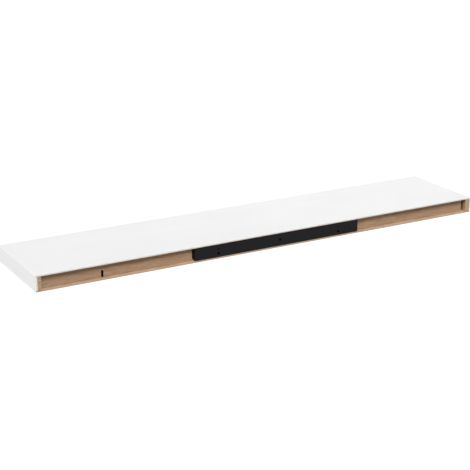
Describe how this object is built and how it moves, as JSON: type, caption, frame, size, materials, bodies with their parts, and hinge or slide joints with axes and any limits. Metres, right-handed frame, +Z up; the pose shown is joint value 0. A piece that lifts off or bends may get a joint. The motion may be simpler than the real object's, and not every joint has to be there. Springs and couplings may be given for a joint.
{
  "type": "floating wall shelf",
  "caption": "Hollow white wall shelf that slides onto the rods of a black steel wall bracket, with a recessed raw-board frame at the rear and locking screws underneath.",
  "frame": {"origin": "on the wall, on the rear face of the bracket's web, half way up the shelf's thickness and half way along its length", "axes": "+X along the shelf's length, +Y into the wall, -Y into the room, +Z up"},
  "size_m": [1.18, 0.235, 0.038],
  "materials": {
    "white_lacquer": "satin white lacquer on thin fibreboard",
    "raw_board": "raw sawn board, matt",
    "core_paper": "brown paper, matt",
    "black_powder": "black powder coat, fine texture",
    "black_plastic": "moulded black plastic",
    "zinc_steel": "zinc-plated steel",
    "brass": "turned brass"
  },
  "bodies": {
    "bracket": {"bracket_channel": "black_powder", "left_rod": "black_powder", "right_rod": "black_powder", "left_rod_cap": "black_plastic", "right_rod_cap": "black_plastic"},
    "board": {"top_skin": "white_lacquer", "bottom_skin": "white_lacquer", "front_edge_band": "white_lacquer", "left_edge_band": "white_lacquer", "right_edge_band": "white_lacquer", "front_rail": "raw_board", "left_end_rail": "raw_board", "right_end_rail": "raw_board", "left_rear_rail": "raw_board", "right_rear_rail": "raw_board", "left_cross_rail": "raw_board", "right_cross_rail": "raw_board", "bore_rail": "raw_board", "left_rod_socket": "raw_board", "right_rod_socket": "raw_board", "left_core": "core_paper", "centre_core": "core_paper", "right_core": "core_paper", "left_threaded_insert": "brass", "right_threaded_insert": "brass"},
    "left_lock": {"left_locking_screw": "zinc_steel"},
    "right_lock": {"right_locking_screw": "zinc_steel"}
  },
  "joints": [
    {"name": "board_slide", "type": "slide", "parent": "bracket", "child": "board", "axis": [0, -1, 0], "range_m": [0, 0.125]},
    {"name": "left_lock_travel", "type": "slide", "parent": "board", "child": "left_lock", "axis": [0, 0, -1], "range_m": [0, 0.003]},
    {"name": "right_lock_travel", "type": "slide", "parent": "board", "child": "right_lock", "axis": [0, 0, -1], "range_m": [0, 0.003]}
  ]
}
